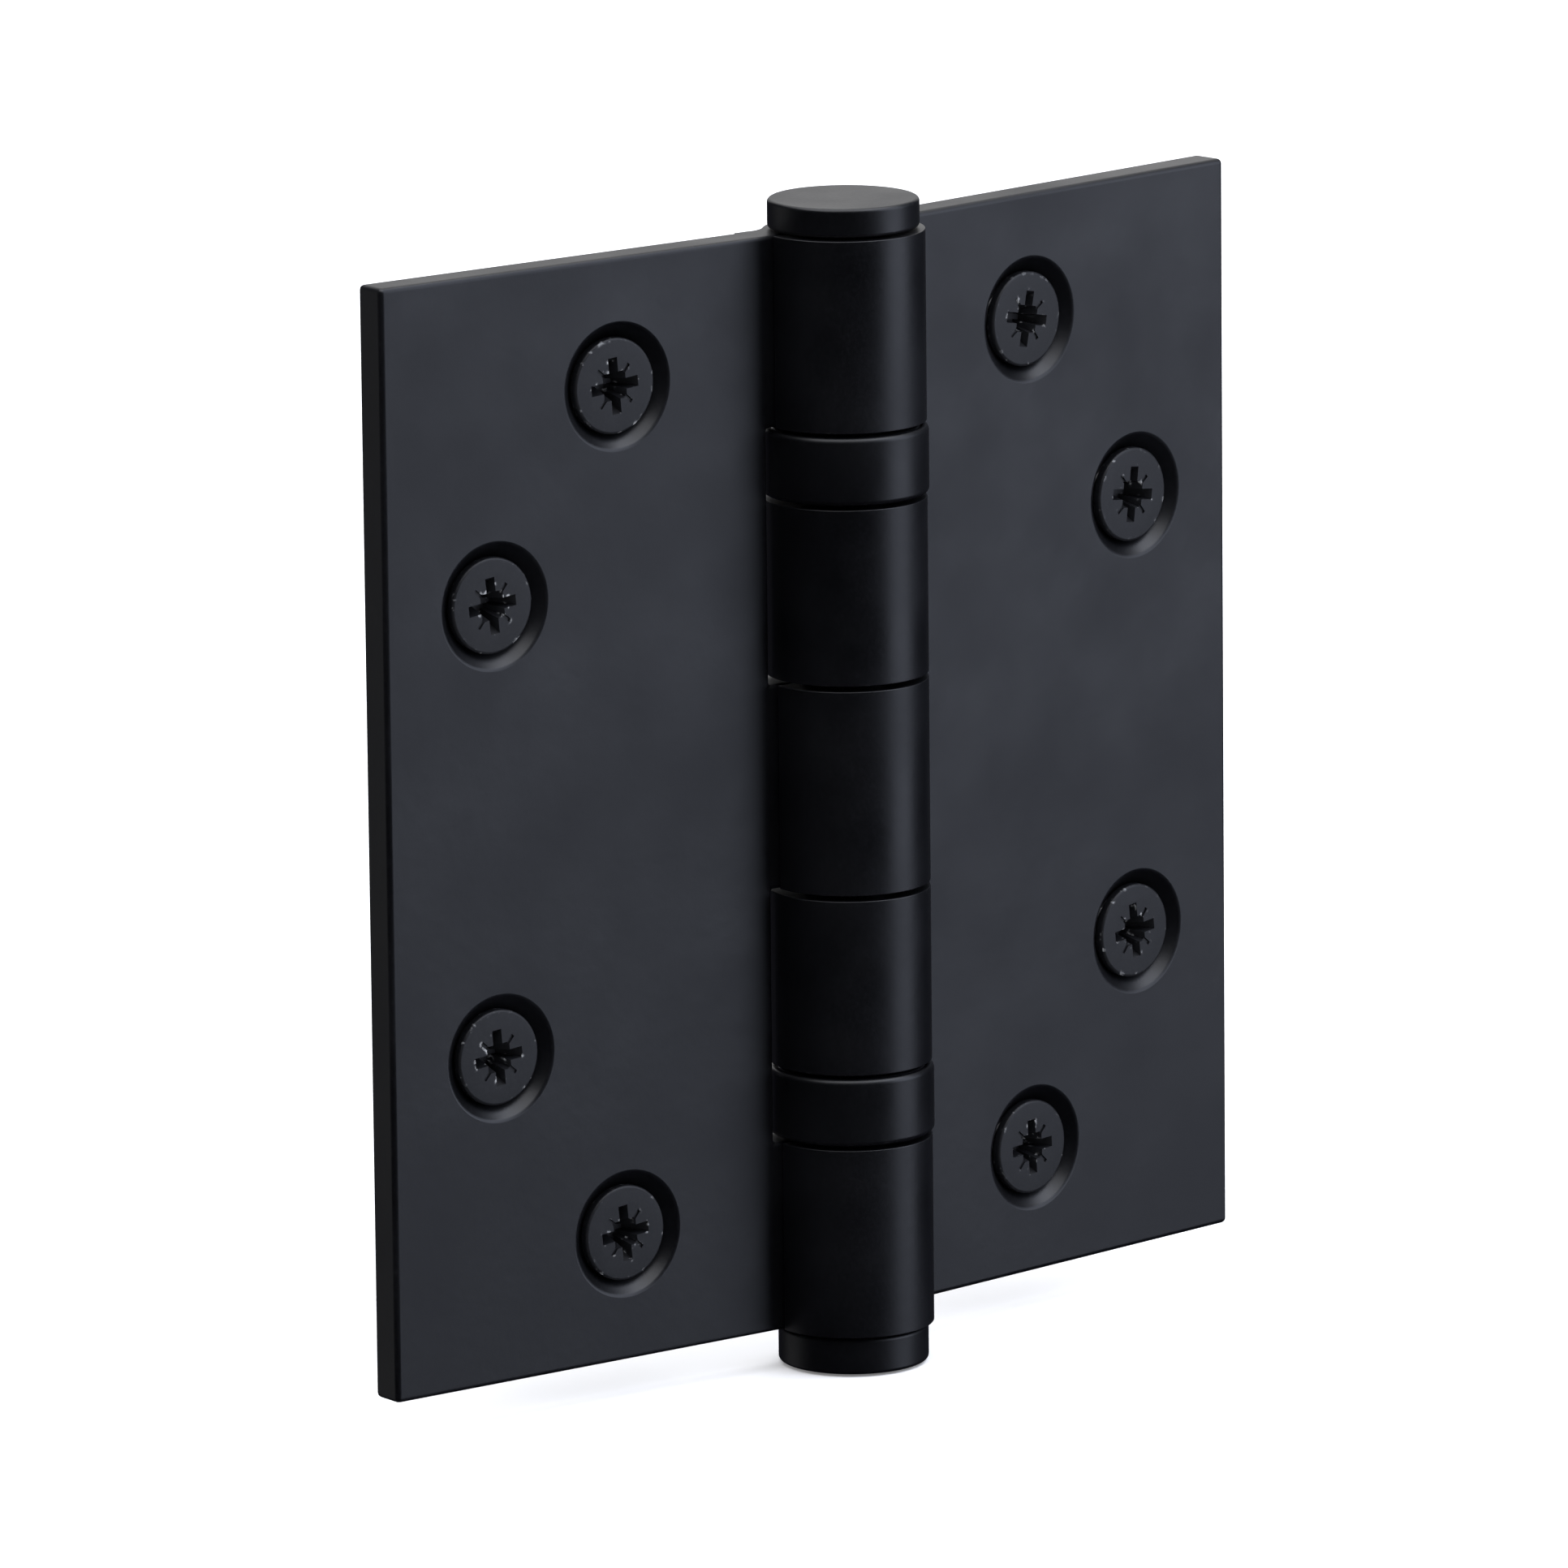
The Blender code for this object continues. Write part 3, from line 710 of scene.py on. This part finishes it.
def screw_tree():
    """A turned and threaded screw with a driver recess, put on each point with its own turn."""
    tree, given, result = geometry_tree(
        "wood_screw",
        {
            **{label: ("NodeSocketFloat", value) for label, value in SCREW_SIZES.items()},
            "Material": ("NodeSocketMaterial", None),
        },
    )
    link = tree.links.new

    def calc(operation, *feeds):
        """A sum on the screw's own sockets and numbers."""
        return math_node(tree, operation, *feeds)

    blank = node(tree, "GeometryNodeMeshCylinder", {"fill_type": "NGON"},
                 Vertices=SCREW_SIDES, Side_Segments=SCREW_ROWS, Radius=1.0, Depth=2.0)
    place = node(tree, "GeometryNodeInputPosition")
    parts = node(tree, "ShaderNodeSeparateXYZ")
    link(place.outputs[0], parts.inputs[0])
    x, y, z = parts.outputs
    along = calc("MULTIPLY", calc("SUBTRACT", 1.0, z), 0.5)
    depth = calc("MULTIPLY", calc("POWER", along, ROW_CROWDING), given.outputs["Length"])
    edge = given.outputs["Head Edge"]
    inset = calc("MAXIMUM", calc("SUBTRACT", edge, depth), 0.0)
    fall = calc("SQRT", calc("MAXIMUM", calc("SUBTRACT", calc("MULTIPLY", edge, edge),
                                            calc("MULTIPLY", inset, inset)), 0.0))
    land = calc("ADD", calc("SUBTRACT", given.outputs["Head Radius"], edge), fall)
    below = calc("MAXIMUM", calc("SUBTRACT", depth, given.outputs["Head Land"]), 0.0)
    cone = calc("SUBTRACT", land, below)
    core = calc("MAXIMUM", cone, given.outputs["Core Radius"])
    left = calc("SUBTRACT", given.outputs["Length"], depth)
    taper = calc("MINIMUM", calc("DIVIDE", left, given.outputs["Point"]), 1.0)
    turns = calc("DIVIDE", calc("ARCTAN2", y, x), math.tau)
    wave = calc("FRACT", calc("ADD", calc("DIVIDE", depth, given.outputs["Pitch"]), turns))
    flank = calc("MAXIMUM", calc("SUBTRACT", 1.0, calc("MULTIPLY", calc("ABSOLUTE",
                 calc("SUBTRACT", wave, 0.5)), FLANK_SLOPE)), 0.0)
    crest = calc("SUBTRACT", given.outputs["Thread Radius"], given.outputs["Core Radius"])
    start = calc("MINIMUM", calc("MAXIMUM", calc("SUBTRACT", depth, THREAD_START), 0.0), 1.0)
    thread = calc("MULTIPLY", calc("MULTIPLY", flank, crest), start)
    radius = calc("MULTIPLY", calc("ADD", core, thread), taper)
    shape = node(tree, "ShaderNodeCombineXYZ")
    link(calc("MULTIPLY", x, radius), shape.inputs["X"])
    link(calc("MULTIPLY", y, radius), shape.inputs["Y"])
    link(calc("MULTIPLY", depth, -1.0), shape.inputs["Z"])
    turned_screw = node(tree, "GeometryNodeSetPosition")
    link(blank.outputs["Mesh"], turned_screw.inputs["Geometry"])
    link(shape.outputs[0], turned_screw.inputs["Position"])
    welded = node(tree, "GeometryNodeMergeByDistance", Distance=0.001)
    link(turned_screw.outputs[0], welded.inputs["Geometry"])

    def bar(long, wide, deep, turn):
        """A cutter bar across the head, sunk by its depth and turned about the screw's axis."""
        size = node(tree, "ShaderNodeCombineXYZ")
        for feed, axis in ((long, "X"), (wide, "Y")):
            link(feed, size.inputs[axis])
        link(calc("MULTIPLY", deep, 2.0), size.inputs["Z"])
        cube = node(tree, "GeometryNodeMeshCube", Vertices_X=2, Vertices_Y=2, Vertices_Z=3)
        link(size.outputs[0], cube.inputs["Size"])
        spun = node(tree, "GeometryNodeTransform", Rotation=(0, 0, math.radians(turn)))
        link(cube.outputs["Mesh"], spun.inputs["Geometry"])
        return spun.outputs[0]

    def number(value):
        """A socket that holds a plain number."""
        made = node(tree, "ShaderNodeValue")
        made.outputs[0].default_value = value
        return made.outputs[0]

    span, slot, deep = (given.outputs[f"Recess {word}"] for word in ("Span", "Slot", "Depth"))
    arms = node(tree, "GeometryNodeMeshBoolean", {"operation": "UNION", "solver": "EXACT"})
    for turn in (0, 90):
        link(bar(span, slot, deep, turn), arms.inputs[1])
    body = calc("MULTIPLY", slot, BODY_SHARE)
    link(bar(body, body, deep, 0), arms.inputs[1])
    place_again = node(tree, "GeometryNodeInputPosition")
    parts_again = node(tree, "ShaderNodeSeparateXYZ")
    link(place_again.outputs[0], parts_again.inputs[0])
    sunk = calc("DIVIDE", calc("MULTIPLY", parts_again.outputs[2], -1.0), deep)
    narrow = calc("SUBTRACT", 1.0, calc("MULTIPLY", calc("MAXIMUM", sunk, 0.0), 0.5))
    tapered = node(tree, "ShaderNodeCombineXYZ")
    for axis, feed in zip("XY", parts_again.outputs[:2]):
        link(calc("MULTIPLY", feed, narrow), tapered.inputs[axis])
    link(parts_again.outputs[2], tapered.inputs["Z"])
    cross = node(tree, "GeometryNodeSetPosition")
    link(arms.outputs[0], cross.inputs["Geometry"])
    link(tapered.outputs[0], cross.inputs["Position"])
    headed = node(tree, "GeometryNodeMeshBoolean", {"operation": "DIFFERENCE", "solver": "EXACT"})
    link(welded.outputs[0], headed.inputs[0])
    link(cross.outputs[0], headed.inputs[1])
    for turn in (45, 135):
        tick = bar(given.outputs["Tick Span"], number(TICK_WIDTH), number(TICK_DEPTH), turn)
        link(tick, headed.inputs[1])

    smooth = node(tree, "GeometryNodeSetShadeSmooth")
    link(headed.outputs[0], smooth.inputs["Geometry"])
    angle = node(tree, "GeometryNodeInputMeshEdgeAngle")
    sharp = node(tree, "GeometryNodeSetShadeSmooth", {"domain": "EDGE"}, Shade_Smooth=False)
    link(smooth.outputs[0], sharp.inputs["Geometry"])
    link(calc("GREATER_THAN", angle.outputs[0], CREASE), sharp.inputs["Selection"])

    turn_of = node(tree, "GeometryNodeInputNamedAttribute", {"data_type": "FLOAT"}, Name="turn")
    own_turn = node(tree, "ShaderNodeCombineXYZ")
    own_turn.inputs["X"].default_value = math.pi / 2
    link(turn_of.outputs[0], own_turn.inputs["Y"])
    placed = node(tree, "GeometryNodeInstanceOnPoints")
    link(given.outputs["Geometry"], placed.inputs["Points"])
    link(sharp.outputs[0], placed.inputs["Instance"])
    link(own_turn.outputs[0], placed.inputs["Rotation"])
    real = node(tree, "GeometryNodeRealizeInstances")
    link(placed.outputs[0], real.inputs[0])
    dressed = node(tree, "GeometryNodeSetMaterial")
    link(real.outputs[0], dressed.inputs["Geometry"])
    link(given.outputs["Material"], dressed.inputs["Material"])
    link(dressed.outputs[0], result.inputs[0])
    return tree


# The screws' pale edge colour at a strong amount is partly driver wear and partly painted glints on the
# head's rim and in the recess corners.
screw_coat = coated("screw_blackened", (0.004, 0.0043, 0.0055), (0.009, 0.0096, 0.0115), 0.4, 0.52,
                    0.3, (0.4, 0.41, 0.42), 1.3)
screw_coat.node_tree.nodes["Principled BSDF"].inputs["Specular IOR Level"].default_value = 0.38
SCREW = screw_tree()
for group, side, place, body in (
    ("frame", -1, FRAME_PLACE, "frame_side"),
    ("door", 1, DOOR_PLACE, "door_side"),
):
    spots = list(hole_places(side))
    points = bpy.data.meshes.new(f"{group}_screw_points")
    points.from_pydata([(x, FACE_SETBACK + HEAD_TOP, z) for _, x, z in spots], [], [])
    turn = points.attributes.new("turn", "FLOAT", "POINT")
    for index, (ending, _, _) in enumerate(spots):
        turn.data[index].value = math.radians(SCREW_TURNS[group][ending])
    holder = bpy.data.objects.new(f"{group}_screw_holder", points)
    bpy.context.scene.collection.objects.link(holder)
    grown(holder, SCREW, {**SCREW_SIZES, "Material": screw_coat})
    piece = settled(holder, f"{group}_screws", place, screw_coat)
    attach(piece, body)
    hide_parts(*[f"{group}_screw_{ending}" for ending, _, _ in spots])


# ---------------------------------------------------------------------------------------------
# The studio: a white floor, a tall soft panel to the right front, a dimmer one behind and one
# overhead, and a long lens from the left front, a little above the hinge.
# ---------------------------------------------------------------------------------------------
CAMERA_FROM_PIN = Vector((-0.6878, -0.9059, 0.2383))
CAMERA_TURN = math.radians(-36.948)
CAMERA_RISE = math.radians(11.854)
CAMERA_ROLL = math.radians(-0.588)
LENS = 334.3
FLOOR_SIDE = 8.0
FLOOR_GAP = 0.0002

camera_data = bpy.data.cameras.new("camera")
camera_data.lens = LENS
camera_data.sensor_width = 36.0
camera_data.clip_start = 0.05
camera_data.clip_end = 30.0
camera = bpy.data.objects.new("camera", camera_data)
camera.matrix_world = (
    Matrix.Translation(PIN + CAMERA_FROM_PIN)
    @ Matrix.Rotation(CAMERA_TURN, 4, "Z")
    @ Matrix.Rotation(math.pi / 2 - CAMERA_RISE, 4, "X")
    @ Matrix.Rotation(CAMERA_ROLL, 4, "Z")
)
bpy.context.scene.collection.objects.link(camera)
bpy.context.scene.camera = camera

floor_shape = bmesh.new()
bmesh.ops.create_grid(floor_shape, x_segments=1, y_segments=1, size=FLOOR_SIDE / 2)
floor = drawn("floor", floor_shape)
floor.location = (PIN.x, PIN.y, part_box("bottom_tip")[0].z - FLOOR_GAP)
floor.visible_glossy = False
floor.visible_shadow = False
floor_paint = bpy.data.materials.new("floor_white")
floor_paint.use_nodes = True
paint = floor_paint.node_tree.nodes["Principled BSDF"]
paint.inputs["Base Color"].default_value = (0.9, 0.9, 0.9, 1)
paint.inputs["Roughness"].default_value = 0.9
paint.inputs["Emission Color"].default_value = (1, 1, 1, 1)
paint.inputs["Emission Strength"].default_value = 0.15
floor.data.materials.append(floor_paint)


def panel(name, turn, rise, distance, width, height, radiance, colour):
    """A soft panel that faces the hinge. turn and rise are in degrees, like the camera's."""
    light = bpy.data.lights.new(name, "AREA")
    light.shape = "RECTANGLE"
    light.size = width
    light.size_y = height
    light.energy = radiance * width * height * math.pi
    light.color = colour
    made = bpy.data.objects.new(name, light)
    turn, rise = math.radians(turn), math.radians(rise)
    away = Vector((math.sin(turn) * math.cos(rise), -math.cos(turn) * math.cos(rise), math.sin(rise)))
    made.location = PIN + away * distance
    made.rotation_euler = (math.pi / 2 - rise, 0, turn)
    made.visible_camera = False
    bpy.context.scene.collection.objects.link(made)


panel("key_panel", 43.8, 25, 1.6, 1.2, 2.6, 2.08, (0.88, 0.95, 1.145))
panel("rear_panel", 143, 25, 1.8, 1.6, 1.6, 0.85, (1, 1, 1))
panel("top_panel", -37, 85, 1.5, 2.4, 2.4, 2.4, (0.96, 0.98, 1.04))
panel("left_panel", -143, -10, 1.6, 1.0, 1.6, 0.2, (1, 1, 1))

world = bpy.data.worlds.new("studio")
bpy.context.scene.world = world
world.use_nodes = True
sky = world.node_tree
background = sky.nodes["Background"]
seen = sky.nodes.new("ShaderNodeLightPath")
shade = node(sky, "ShaderNodeMix", {"data_type": "RGBA"})
shade.inputs[6].default_value = (0.7, 0.7, 0.72, 1)
shade.inputs[7].default_value = (0.014, 0.014, 0.022, 1)
sky.links.new(seen.outputs["Is Glossy Ray"], shade.inputs[0])
sky.links.new(shade.outputs[2], background.inputs["Color"])
bpy.context.scene.view_settings.view_transform = "Standard"
